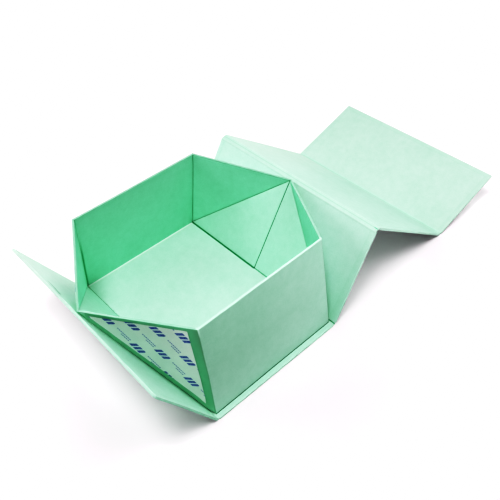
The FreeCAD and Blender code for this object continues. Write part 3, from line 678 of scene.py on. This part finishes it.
def uneven(p):
    """Hand-folded unevenness of the tray: settled corners, and slow waves above its foot."""
    p = np.asarray(p, float)
    x, y, z = p + np.linalg.norm(_pts - p, axis=1) @ _wts
    k = min(1.0, max(0.0, (z - Z0 - 1.0) / 25.0))
    return np.array((x + 0.22 * k * hash_wave(y * 1.1, z * 1.1, 11.0), y + 0.22 * k * hash_wave(x * 1.1, z * 1.1, 13.0),
                     z + 0.12 * k * hash_wave(x * 1.3, y * 1.3, 17.0)))


def tray_shell():
    """The folded tray: outer and inner skins of all its walls in one closed mesh."""
    half_l, half_w = L / 2, W / 2
    cosp, sinp, cost, sint = math.cos(PHI), math.sin(PHI), math.cos(THETA), math.sin(THETA)
    P = {}
    for ex in (-1, 1):
        for sy in (-1, 1):
            P["foot", ex, sy] = np.array((ex * half_l, sy * half_w, Z0))
            P["top", ex, sy] = np.array((ex * half_l, sy * (half_w - H * sinp), Z0 + H * cosp))
        P["mid", ex] = np.array((ex * half_l, 0.0, Z0))
        P["apex", ex] = np.array((ex * (half_l + H * sint), 0.0, Z0 + H * cost))
    # outward normals and the inner planes, a board's thickness in
    N = {}
    for sy in (-1, 1):
        N["side", sy] = np.array((0.0, sy * cosp, sinp))
    for ex in (-1, 1):
        N["low", ex] = np.array((ex * cost, 0.0, -sint))
        for sy in (-1, 1):
            a = P["top", ex, sy] - P["foot", ex, sy]
            b = P["apex", ex] - P["foot", ex, sy]
            n = np.cross(a, b)
            n /= np.linalg.norm(n)
            if n[0] * ex < 0:
                n = -n
            N["up", ex, sy] = n

    def inner(key, point):
        return (N[key], float(N[key] @ point) - T)
    Q = {}
    floor_plane = (np.array((0, 0, 1.0)), Z0 - 0.1)
    for ex in (-1, 1):
        pl_low = inner(("low", ex), P["mid", ex])
        ups = {}
        for sy in (-1, 1):
            pl_side = inner(("side", sy), P["foot", ex, sy])
            pl_up = inner(("up", ex, sy), P["foot", ex, sy])
            ups[sy] = pl_up
            Q["in_foot", ex, sy] = solve3([pl_side, pl_low, pl_up])
            Q["in_base", ex, sy] = solve3([pl_side, pl_low, floor_plane])
            top_dir = np.array((0.0, -sy * sinp, cosp))
            Q["in_top", ex, sy] = solve3([pl_side, pl_up, (top_dir, float(top_dir @ P["top", ex, sy]))])
        Q["in_apex", ex] = solve3([pl_low, ups[-1], ups[1]])
        Q["in_mid", ex] = solve3([pl_low, (np.array((0, 1.0, 0)), 0.0), floor_plane])

    # the inner faces: corners, for the edge after each corner how dark its fold is painted (painted shade; None: no
    # fold), and each face's painted shade (0 none, up to 1 a brighter tint, from 1 to 2 a deeper one)
    corner = {(1, 1): 0.42, (-1, 1): 0.72, (1, -1): 0.4, (-1, -1): 0.4}
    slant = {(1, 1): 0.35, (-1, 1): 0.03, (1, -1): 0.10, (-1, -1): 0.25}
    middle = {1: 1.3, -1: 0.7}
    panels = []
    for sy in (-1, 1):
        panels.append(([("in_base", -1, sy), ("in_base", 1, sy), ("in_foot", 1, sy), ("in_top", 1, sy), ("in_top", -1, sy), ("in_foot", -1, sy)],
                       [None, 0.4, corner[1, sy], None, corner[-1, sy], 0.4], 1.0 if sy > 0 else 0.4))
    for ex in (-1, 1):
        for sy in (-1, 1):
            panels.append(([("in_foot", ex, sy), ("in_top", ex, sy), ("in_apex", ex)], [corner[ex, sy], None, slant[ex, sy]], 1.1 if (ex, sy) == (1, 1) else 1.9))
            panels.append(([("in_base", ex, sy), ("in_foot", ex, sy), ("in_apex", ex), ("in_mid", ex)],
                           [0.4, slant[ex, sy], middle[ex], None], 0.0))
    normals, sunk = {}, {}
    centre = np.array((0.0, 0.0, 50.0))
    for keys, folds, painted_shade in panels:
        pts = [Q[k] for k in keys]
        n = np.cross(pts[1] - pts[0], pts[2] - pts[0])
        n /= np.linalg.norm(n)
        if n @ (centre - pts[0]) < 0:
            n = -n
        normals[tuple(keys)] = n
        for k in keys:
            sunk.setdefault(k, []).append(n)
    low = {}
    for k, ns in sunk.items():
        m = sum(ns)
        low[k] = Q[k] - m / np.linalg.norm(m) * 1.0

    bm = bmesh.new()
    kind = bm.faces.layers.int.new("kind")
    fold = bm.faces.layers.float.new("fold")
    # tone holds each face's painted shade value
    tone = bm.faces.layers.float.new("tone")
    V = {}
    for key, p in list(P.items()) + list(low.items()):
        V[key] = bm.verts.new([c * MM for c in p])

    def face(verts, k, strength=0.0, painted_shade=0.0):
        f = bm.faces.new(verts)
        f[kind], f[fold], f[tone] = k, strength, painted_shade
        return f

    OUT, IN, RIM, FOOT, STRIP_ = 0, 1, 2, 3, 4
    gap = 0.5
    rim_in = {}
    for keys, folds, painted_shade in panels:
        n = normals[tuple(keys)]
        pts = [Q[k] for k in keys]
        mid = sum(pts) / len(pts)
        count = len(keys)
        lines = []
        for i in range(count):
            a, b = pts[i], pts[(i + 1) % count]
            m = np.cross(n, b - a)
            m /= np.linalg.norm(m)
            if m @ (mid - a) < 0:
                m = -m
            open_ = 0.0 if folds[i] is None else 0.14 if folds[i] < 0.1 else gap
            lines.append((m, float(m @ a) + open_))
        inset = []
        for i in range(count):
            p = solve3([lines[i - 1], lines[i], (n, float(n @ pts[i]))])
            inset.append(bm.verts.new([c * MM for c in p]))
        face(inset, IN, 0.0, painted_shade)
        for i in range(count):
            j = (i + 1) % count
            if folds[i] is not None:
                face([V[keys[i]], V[keys[j]], inset[j], inset[i]], STRIP_, folds[i], painted_shade)
            else:
                rim_in[keys[i], keys[j]] = (inset[i], inset[j])
                rim_in[keys[j], keys[i]] = (inset[j], inset[i])

    def border(outer, inner_keys, k):
        """The board's edge between an outer edge and the inner one, with the notch at each fold."""
        a, b = V[outer[0]], V[outer[1]]
        ia, ib = rim_in[inner_keys]
        face([a, b, ib, ia], k)
        face([a, ia, V[inner_keys[0]]], k)
        face([b, V[inner_keys[1]], ib], k)

    for sy in (-1, 1):
        face([V["foot", -1, sy], V["foot", 1, sy], V["top", 1, sy], V["top", -1, sy]], OUT)
        border((("top", -1, sy), ("top", 1, sy)), (("in_top", -1, sy), ("in_top", 1, sy)), RIM)
        border((("foot", -1, sy), ("foot", 1, sy)), (("in_base", -1, sy), ("in_base", 1, sy)), FOOT)
    for ex in (-1, 1):
        for sy in (-1, 1):
            face([V["foot", ex, sy], V["top", ex, sy], V["apex", ex]], OUT)
            face([V["foot", ex, sy], V["apex", ex], V["mid", ex]], OUT)
            border((("top", ex, sy), ("apex", ex)), (("in_top", ex, sy), ("in_apex", ex)), RIM)
            border((("foot", ex, sy), ("mid", ex)), (("in_base", ex, sy), ("in_mid", ex)), FOOT)
    bmesh.ops.recalc_face_normals(bm, faces=bm.faces)

    # outer folds: the wrap turns them in a soft round
    outer = [e for e in bm.edges if len(e.link_faces) == 2 and e.link_faces[0][kind] == OUT and e.link_faces[1][kind] == OUT
             and e.calc_face_angle(0) > math.radians(5)]
    bmesh.ops.bevel(bm, geom=outer, offset=0.65 * MM, segments=4, profile=0.5, affect="EDGES", clamp_overlap=True, loop_slide=True)
    # the rim and the foot: board edges under the wrap
    rim = [e for e in bm.edges if len(e.link_faces) == 2 and (e.link_faces[0][kind] == RIM) != (e.link_faces[1][kind] == RIM)
           and e.calc_face_angle(0) > math.radians(30) and STRIP_ not in (e.link_faces[0][kind], e.link_faces[1][kind])]
    bmesh.ops.bevel(bm, geom=rim, offset=0.38 * MM, segments=3, profile=0.5, affect="EDGES", clamp_overlap=True, loop_slide=True)
    # flat faces keep their shade: a supporting loop just inside each border
    flats = [f for f in bm.faces if f[kind] in (OUT, IN) and f.calc_area() > 1500 * MM * MM]
    bmesh.ops.inset_individual(bm, faces=flats, thickness=0.55 * MM, depth=0.0, use_even_offset=True)
    # cut the large faces up, so that the paper can be a little uneven
    cuts = [(0, at) for at in np.arange(-124.37, 125, 9.1)] + [(1, at) for at in np.arange(-99.13, 100, 8.7)] + [(2, at) for at in np.arange(9.37, 100, 8.3)]
    cuts += [(2, z) for z in (Z0 + 0.35, Z0 + 0.75, Z0 + 1.15, 4.5, 5.1)]
    for axis, at in cuts:
        normal = [0.0, 0.0, 0.0]
        normal[axis] = 1.0
        bmesh.ops.bisect_plane(bm, geom=bm.verts[:] + bm.edges[:] + bm.faces[:], dist=1e-7,
                               plane_co=[at * MM * c for c in normal], plane_no=normal)
    bmesh.ops.bisect_plane(bm, geom=bm.verts[:] + bm.edges[:] + bm.faces[:], dist=1e-7,
                           plane_co=(-65.3 * MM, 0, 0), plane_no=(1, 0, 0))
    # cut lines round the adhesive pads, for the painted shade band on their borders
    for ex in (-1, 1):
        for sy in (-1, 1):
            foot = P["foot", ex, sy]
            for line, reach in ((P["top", ex, sy] - foot, 3.2), (P["apex", ex] - foot, 5.0)):
                line = line / np.linalg.norm(line)
                away = np.cross(N["up", ex, sy], line)
                middle_of = (P["top", ex, sy] + P["apex", ex] + foot) / 3 - foot
                away *= np.sign(float(away @ middle_of))
                bmesh.ops.bisect_plane(bm, geom=bm.verts[:] + bm.edges[:] + bm.faces[:], dist=1e-7,
                                       plane_co=[c * MM for c in foot + away * reach], plane_no=list(away))
    bmesh.ops.triangulate(bm, faces=[f for f in bm.faces if len(f.verts) > 4])
    bm.verts.index_update()
    bm.faces.index_update()

    # what each corner of each face shows: paler and darker rims, painted shade in folds and contacts, the painted shade
    # band, painted shadow, painted light and shade on the walls
    rims = []
    for sy in (-1, 1):
        rims.append([P["top", -1, sy], P["top", 1, sy], Q["in_top", 1, sy], Q["in_top", -1, sy]])
    for ex in (-1, 1):
        for sy in (-1, 1):
            rims.append([P["top", ex, sy], P["apex", ex], Q["in_apex", ex], Q["in_top", ex, sy]])
    rims = [[Vector(c) for c in quad] for quad in rims]
    # per rim how much paler (positive) and darker (negative) it is made: the near rim paler, the far rim and the gusset
    # rims darker
    rim_pale_dark = [0.62, -0.7, -0.6, -0.65, -0.62, -0.8]
    segments = [(Vector(low[a]), Vector(low[b])) for keys, folds, _ in panels for a, b, f in zip(keys, keys[1:] + keys[:1], folds) if f is not None]
    corners, slants = [], []
    for ex in (-1, 1):
        for sy in (-1, 1):
            foot, top, apex = P["foot", ex, sy], P["top", ex, sy], P["apex", ex]
            e = (top - foot) / np.linalg.norm(top - foot)
            g = (apex - foot) - e * float(e @ (apex - foot))
            w = np.array((-ex * 1.0, 0.0, 0.0))
            corners.append((foot, top, e, g / np.linalg.norm(g), w))
            d = apex - foot
            slants.append((foot, apex, d / np.linalg.norm(d), float(np.linalg.norm(d)), N["low", ex]))
    from mathutils.geometry import closest_point_on_tri, intersect_point_line
    mm = [np.array(v.co) / MM for v in bm.verts]
    worn = np.zeros(len(mm))
    on_line = np.zeros(len(mm))
    for i, p in enumerate(mm):
        v = Vector(p)
        if p[2] > 85:
            for q, much in zip(rims, rim_pale_dark):
                d = min((closest_point_on_tri(v, *tri) - v).length for tri in ((q[0], q[1], q[2]), (q[0], q[2], q[3])))
                if d < 0.45 and abs(much) > abs(worn[i]):
                    worn[i] = much
        for a, b in segments:
            q, t = intersect_point_line(v, a, b)
            if -0.02 < t < 1.02 and (q - v).length < 0.06:
                on_line[i] = 1.0
                break
    layers = {n: [] for n in ("edge", "crease_shade", "painted_shade_band", "painted_shadow", "painted_shade", "dim_rims_and_painted_shade")}
    for f in bm.faces:
        c = np.array(f.calc_center_median()) / MM
        nrm = np.array(f.normal)
        pad_face = False
        for ex in (-1, 1):
            for sy in (-1, 1):
                n = N["up", ex, sy]
                if f[kind] == OUT and float(nrm @ n) > 0.9995 and abs(float(n @ (c - P["foot", ex, sy]))) < 0.05:
                    pad_face = (ex, sy)
        for loop in f.loops:
            i = loop.vert.index
            p = mm[i]
            e, k, w, shadow_k = worn[i], 0.0, 1.0 if pad_face else 0.0, 0.0
            # fold grooves: painted shade along their bottom line
            if f[kind] == STRIP_:
                k = f[fold] * on_line[i]
                e = 0.0
            elif f[kind] != IN and f[kind] != RIM:
                # the outer corner folds: the painted shade band over the fold, and painted shadow along it, deeper
                # towards the top
                for foot, top, axis, g, side in corners:
                    r = p - foot
                    h = float(r @ axis)
                    rad = r - axis * h
                    if 0.3 < h < H - 0.30 and np.linalg.norm(rad) < 1.1:
                        a, b = float(rad @ g), float(rad @ side)
                        q = (b - a) / max(1e-6, abs(a) + abs(b))
                        if not pad_face and abs(float(nrm[1])) < 0.985:
                            w = 1.0 if q < 0.25 else max(0.0, 0.8 - 0.8 * (q - 0.25) / 0.7)
                        if q < 0.25:
                            shadow_k = 0.35 + 0.6 * h / H
                # round a pad the painted shade band is lighter along its diagonal fold and low near its corner (painted
                # bounce light), with painted shadow down the corner, strongest towards the top
                if pad_face:
                    foot = P[("foot",) + pad_face]
                    upright = (P[("top",) + pad_face] - foot) / H
                    sloping = P["apex", pad_face[0]] - foot
                    sloping = sloping / np.linalg.norm(sloping)
                    r = p - foot
                    h = float(r @ upright)
                    rad = float(np.linalg.norm(r - upright * h))
                    low_by = float(np.linalg.norm(r - sloping * float(r @ sloping)))
                    h = min(1.0, max(0.0, h / H))
                    w = 1.0 - 0.34 * max(0.0, 1.0 - low_by / 9.0) - 0.14 * max(0.0, 1.0 - h / 0.4) * max(0.0, 1.0 - rad / 14.0)
                    shadow_k = max(shadow_k, 0.60 * h * max(0.0, 1.0 - rad / 5.5) + 0.30 * max(0.0, (h - 0.6) / 0.4) * max(0.0, 1.0 - rad / 14.0))
                # the painted shade band along the sloping outer folds
                if not pad_face:
                    for foot, apex, axis, span, below in slants:
                        r = p - foot
                        h = float(r @ axis)
                        if 0.3 < h < span - 0.3 and np.linalg.norm(r - axis * h) < 1.1 and float(nrm @ below) < 0.9995:
                            w = 1.0
            # painted shade where the gussets meet the floor
            if f[kind] in (IN, STRIP_) and abs(c[0]) > 60 and c[2] < 4.4 and abs(nrm[0]) > 0.3:
                k = max(k, 0.62 if c[1] > 0 else 0.4)
            # painted contact shadow along the tray's foot
            if f[kind] == OUT or (f[kind] == FOOT):
                if p[2] < Z0 + 0.80:
                    k, e = 0.95, 0.0
            # painted shade on the far wall's inside beside its left corner fold, deeper lower down
            if f[kind] == IN and nrm[1] < -0.9 and p[0] < -65.4:
                k = max(k, 0.5 * min(1.0, max(0.0, (76 - p[2]) / 28)))
            # painted shade: the near wall's outside darker towards its left end and its top, the far wall's outside
            # evenly darker
            dim = 0.0
            if f[kind] == OUT and nrm[1] < -0.9:
                along = min(1.0, max(0.0, (p[0] + L / 2) / L))
                low_down = min(1.0, max(0.0, (50 - p[2]) / 45))
                dim = (0.15 + 0.50 * (1 - along) ** 0.9) * (1 - 0.8 * low_down)
            if f[kind] == OUT and nrm[1] > 0.9:
                dim = 0.35
            layers["edge"].append(max(0.0, e))
            layers["dim_rims_and_painted_shade"].append(max(0.0, -e, dim))
            layers["crease_shade"].append(k)
            layers["painted_shade_band"].append(w)
            layers["painted_shadow"].append(shadow_k)
            # painted shade: on the far wall's inside it deepens from the top down
            layers["painted_shade"].append(f[tone] + (1.0 - min(1.0, max(0.0, p[2] / 95)) if nrm[1] < -0.9 and f[tone] > 0.9 else 0.0))
    bulge = {}
    for foot, apex, axis, span, below in slants:
        down = foot - P["top", int(np.sign(foot[0])), int(np.sign(foot[1]))]
        down = down - axis * float(down @ axis)
        down /= np.linalg.norm(down)
        for i, p in enumerate(mm):
            r = p - foot
            h = float(r @ axis)
            if 0 < h < span and np.linalg.norm(r - axis * h) < 1.6 and i not in bulge:
                t = h / span
                bulge[i] = down * (1.9 - 1.2 * t) * min(1.0, t / 0.07) * min(1.0, (1.0 - t) / 0.08)
    for i, v in enumerate(bm.verts):
        v.co = Vector(uneven(mm[i]) + bulge.get(i, 0.0)) * MM
    mesh = bpy.data.meshes.new("tray_wrap")
    bm.to_mesh(mesh)
    bm.free()
    for key in ("kind", "fold", "tone"):
        if key in mesh.attributes:
            mesh.attributes.remove(mesh.attributes[key])
    for key, values in layers.items():
        mesh.attributes.new(key, "FLOAT", "CORNER").data.foreach_set("value", np.asarray(values, np.float32))
    for p in mesh.polygons:
        p.use_smooth = True
    obj = bpy.data.objects.new("tray_wrap", mesh)
    bpy.context.scene.collection.objects.link(obj)
    return obj


tray = tray_shell()
sharpen(tray, 24)
dress(tray, TRAY, "base",
      ["tray_wall_near", "tray_wall_far"] + ["gusset_%s_%s_%s" % (e, s, l) for e in ("front", "back") for s in ("near", "far") for l in ("lower", "upper")])


def floor_place(s, y, n):
    step = 0.65 * min(1.0, max(0.0, -y / 1.2)) if s > 60 else 0.0
    return tuple(uneven((s + step, y, TC + n)))


# floor card: painted highlight along its far edge, painted shade round its lower sides
card = panel("tray_floor_card", floor_place, -(L / 2 - 1.6), L / 2 - 2.8, W / 2 - 2.4, T, r=0.4, corners=(0.8,) * 4, seed=7.0,
             underside_shade=0.5, wear_and_highlight=(0.0, 0.0, 0.0, 1.0), extra_y=(-1.2, -0.05), wear_and_highlight_width=2.2)
dress(card, FLOORCARD, "base", ["tray_floor"])


# ------------------------------------------------------------------ tape pads
def triangle_frame(ex, sy):
    """Corner foot, direction along the rim to the apex, direction up the corner."""
    foot = np.array((ex * L / 2, sy * W / 2, Z0))
    top = foot + np.array((0, -sy * math.sin(PHI), math.cos(PHI))) * H
    apex = np.array((ex * (L / 2 + H * math.sin(THETA)), 0, Z0 + H * math.cos(THETA)))
    rim = (apex - top) / np.linalg.norm(apex - top)
    up = (top - foot) / H
    out = np.cross(rim, up)
    out /= np.linalg.norm(out)
    if out[0] * ex < 0:
        out = -out
    return foot, rim, up, out


def tape_pad(name, ex, sy, node):
    """Adhesive patch and its peel-off liner, which has lifted a little at its edges."""
    foot, rim, up, out = triangle_frame(ex, sy)
    q2 = math.sqrt(2)
    corners = [np.array(c) for c in ((6.9, 6.9 + 4.5 * q2), (H - 3.0 - 4.5 * q2, H - 3.0), (8.7, H - 3.0))]
    n = 44
    flat = 0.3 if (ex, sy) == (-1, 1) else 1.0
    index, pts, uvs = {}, [], []
    for i in range(n + 1):
        for j in range(n + 1 - i):
            a, b, c = i / n, j / n, (n - i - j) / n
            p = corners[0] * a + corners[1] * b + corners[2] * c
            m = min(a, b, c)
            # clip the sharp tips a little
            for w, tip in ((a, corners[0]), (b, corners[1]), (c, corners[2])):
                if w > 0.985:
                    p = p + (sum(corners) / 3 - tip) * (w - 0.985) * 0.6
            ripple = 0.10 * hash_wave(p[0] * 2.2, p[1] * 2.2, 21.0 + ex + sy) + 0.05 * math.sin(0.33 * (p[0] + 0.6 * p[1]))
            curl = 0.30 * math.exp(-m * n / 1.6) * (0.4 + 0.6 * (0.5 + 0.5 * hash_wave(p[0] * 5, p[1] * 5, 2.0)))
            tip_curl = 0.9 * max(0.0, (a - 0.9) / 0.1) ** 2
            index[i, j] = len(pts)
            pts.append((p, 0.24 + flat * (max(-0.08, ripple) + curl + tip_curl)))
            uvs.append((p[0], p[1]))
    verts = [uneven(foot + rim * p[0] + up * p[1]) + out * h for p, h in pts]
    verts += [uneven(foot + rim * p[0] + up * p[1]) + out * max(0.0, h - 0.13) for p, h in pts]
    k = len(pts)
    faces = []
    for i in range(n):
        for j in range(n - i):
            t = [index[i, j], index[i + 1, j], index[i, j + 1]]
            faces += [t, [k + x for x in t[::-1]]]
            if j < n - i - 1:
                t = [index[i + 1, j], index[i + 1, j + 1], index[i, j + 1]]
                faces += [t, [k + x for x in t[::-1]]]
    rings = [[index[i, 0] for i in range(n + 1)], [index[n - j, j] for j in range(n + 1)], [index[0, n - j] for j in range(n + 1)]]
    for ring in rings:
        for a, b in zip(ring, ring[1:]):
            faces.append([a, b, k + b, k + a])
    obj = new_object(name, verts, faces, uv=[(u * MM, v * MM) for u, v in uvs * 2])
    bm = bmesh.new()
    bm.from_mesh(obj.data)
    bmesh.ops.recalc_face_normals(bm, faces=bm.faces)
    bm.to_mesh(obj.data)
    bm.free()
    sharpen(obj, 40)
    dress(obj, LINER, "base", [node])
    return obj


for end, ex in (("front", -1), ("back", 1)):
    for side, sy in (("near", -1), ("far", 1)):
        tape_pad("liner_%s_%s" % (end, side), ex, sy, "tape_%s_%s" % (end, side))

# closure discs: sealed inside their boards
MAGNET = metal_mat("nickel", (0.72, 0.72, 0.74), 0.25)
DISC = metal_mat("sheet_steel", (0.55, 0.55, 0.57), 0.4)
for n in ("magnet_near", "magnet_far"):
    dress(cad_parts[n], MAGNET)
for n in ("steel_disc_near", "steel_disc_far"):
    dress(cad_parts[n], DISC)

# -------------------------------------------------------------- floor and light
mesh = bpy.data.meshes.new("floor")
mesh.from_pydata([(-6, -6, 0), (6, -6, 0), (6, 6, 0), (-6, 6, 0)], [], [(0, 1, 2, 3)])
floor = bpy.data.objects.new("floor", mesh)
bpy.context.scene.collection.objects.link(floor)
fmat, fnt, fb = node_mat("floor_white")
fb.inputs["Base Color"].default_value = (0.945, 0.890, 0.925, 1)
fb.inputs["Roughness"].default_value = 1.0
fb.inputs["Specular IOR Level"].default_value = 0.0
fb.inputs["Emission Strength"].default_value = 1.0
mesh.materials.append(fmat)
floor.location.z = -0.0002
# the floor glows: near the object faintly and pinkish, a little more towards +X, a painted light that lifts its shadows
# towards a neutral grey; away from the object the glow rises into an even white
fcoord = fnt.nodes.new("ShaderNodeTexCoord").outputs["Object"]
flen = fnt.nodes.new("ShaderNodeVectorMath")
flen.operation = "LENGTH"
fnt.links.new(fcoord, flen.inputs[0])
fsep = fnt.nodes.new("ShaderNodeSeparateXYZ")
fnt.links.new(fcoord, fsep.inputs[0])
painted_floor_glow = mix_col(fnt, map_range(fnt, fsep.outputs["X"], -0.02, 0.20, 0.0, 1.0), (0.022, 0.007, 0.014), (0.040, 0.012, 0.026))
fnt.links.new(mix_col(fnt, map_range(fnt, flen.outputs["Value"], 0.29, 1.2, 0.0, 1.0), painted_floor_glow, (1.1, 1.1, 1.1)), fb.inputs["Emission Color"])

bm = bmesh.new()
bmesh.ops.create_icosphere(bm, subdivisions=4, radius=5.5)
bmesh.ops.reverse_faces(bm, faces=bm.faces)
mesh = bpy.data.meshes.new("backdrop")
bm.to_mesh(mesh)
bm.free()
backdrop = bpy.data.objects.new("backdrop", mesh)
bpy.context.scene.collection.objects.link(backdrop)
bmat, bnt, bb = node_mat("backdrop_white")
bb.inputs["Base Color"].default_value = (0.0, 0.0, 0.0, 1)
bb.inputs["Specular IOR Level"].default_value = 0.0
bb.inputs["Emission Color"].default_value = (1, 1, 1, 1)
bb.inputs["Emission Strength"].default_value = 1.1
mesh.materials.append(bmat)
for way in ("visible_diffuse", "visible_glossy", "visible_transmission", "visible_shadow", "visible_volume_scatter"):
    setattr(backdrop, way, False)

world = bpy.data.worlds.new("studio")
bpy.context.scene.world = world
world.use_nodes = True
world.node_tree.nodes["Background"].inputs[0].default_value = (1.0, 1.0, 1.0, 1.0)
world.node_tree.nodes["Background"].inputs[1].default_value = 0.004

# soft boxes: azimuth, elevation, distance (m), size (m), power (W)
SOFTBOXES = (
    (180, 8, 1.8, 0.7, 13.34),
    (135, 8, 1.8, 0.7, 11.03),
    (225, 38, 0.65, 0.3, 1.38),
    (20, 60, 0.65, 0.3, 1.13),
    (300, 75, 1.8, 0.35, 8.13),
    (300, 66, 1.8, 0.35, 7.10),
    (45, 58, 1.8, 0.7, 1.50),
    (90, 45, 1.8, 0.7, 4.60),
    (112.5, 25, 1.8, 0.7, 2.38),
    (240, 66, 1.8, 0.8, 2.36),
    (67.5, 25, 1.8, 0.7, 1.40),
    (157.5, 25, 1.8, 0.7, 1.24),
    (270, 8, 1.8, 0.7, 0.79),
    (90, 14, 0.65, 0.3, 0.10),
    (45, 45, 1.8, 0.7, 0.29),
)
for k, (az, el, dist, size, power) in enumerate(SOFTBOXES):
    az, el = math.radians(az), math.radians(el)
    d = Vector((math.sin(az) * math.cos(el), -math.cos(az) * math.cos(el), math.sin(el)))
    data = bpy.data.lights.new("softbox_%d" % k, "AREA")
    data.shape = "SQUARE"
    data.size = size
    data.energy = power
    light = bpy.data.objects.new("softbox_%d" % k, data)
    bpy.context.scene.collection.objects.link(light)
    centre = Vector((0.08, 0, 0.04)) if dist > 1 else Vector((0.05, 0, 0.04))
    light.location = centre + d * dist
    light.rotation_euler = (-d).to_track_quat("-Z", "Y").to_euler()
    light.visible_camera = False

# small bounce cards near the floor: place, what they face, size (m), power (W)
BOUNCE = (
    ((0.17, -0.16, 0.003), (0.08, -0.09, 0.05), 0.08, 0.0331),
    ((0.38, -0.25, 0.2), (0.03, -0.1, 0.05), 0.15, 0.0373),
    ((0.32, -0.1, 0.003), (0.09, -0.08, 0.05), 0.12, 0.0044),
)
for k, (place, facing, size, power) in enumerate(BOUNCE):
    place, facing = Vector(place), Vector(facing)
    data = bpy.data.lights.new("bounce_%d" % k, "AREA")
    data.shape = "SQUARE"
    data.size = size
    data.energy = power
    light = bpy.data.objects.new("bounce_%d" % k, data)
    bpy.context.scene.collection.objects.link(light)
    light.location = place
    light.rotation_euler = (facing - place).to_track_quat("-Z", "Y").to_euler()
    light.visible_camera = False

# ---------------------------------------------------------------------- camera
cam_data = bpy.data.cameras.new("camera")
cam = bpy.data.objects.new("camera", cam_data)
bpy.context.scene.collection.objects.link(cam)
cam_data.sensor_width = 36.0
cam_data.lens = 45.513
cam_data.clip_start = 0.01
right = Vector((0.72748586, -0.68566847, -0.02496125))
up = Vector((0.4950355, 0.49934122, 0.71105429))
backv = Vector((-0.47508333, -0.52963865, 0.70269391))
cam.matrix_world = Matrix(((right.x, up.x, backv.x, -0.232162526), (right.y, up.y, backv.y, -0.32951100),
                           (right.z, up.z, backv.z, 0.46892497), (0, 0, 0, 1)))
bpy.context.scene.camera = cam
bpy.context.scene.view_settings.view_transform = "Standard"
bpy.context.scene.view_settings.look = "None"
# the picture's tone: deep shades and bright highlights, clipped at white
TONE = ((0.00, 0.0000), (0.03, 0.0010), (0.06, 0.0052), (0.10, 0.0174), (0.14, 0.0385), (0.18, 0.0688), (0.22, 0.1081), (0.26, 0.1555), (0.30, 0.2095), (0.34, 0.2683), (0.38, 0.3302), (0.42, 0.3932), (0.46, 0.4560), (0.50, 0.5171), (0.54, 0.5757), (0.58, 0.6310), (0.62, 0.6827), (0.66, 0.7305), (0.70, 0.7745), (0.74, 0.8148), (0.78, 0.8514), (0.82, 0.8847), (0.86, 0.9150), (0.900, 0.9423), (0.930, 0.9680), (0.955, 1.0000), (1.000, 1.0000))
view = bpy.context.scene.view_settings
view.use_curve_mapping = True
curve = view.curve_mapping.curves[3]
while len(curve.points) < len(TONE):
    curve.points.new(0.5, 0.5)
for point, (x, y) in zip(curve.points, TONE):
    point.location = (x, y)
    point.handle_type = "VECTOR"
view.curve_mapping.extend = "HORIZONTAL"
view.curve_mapping.update()
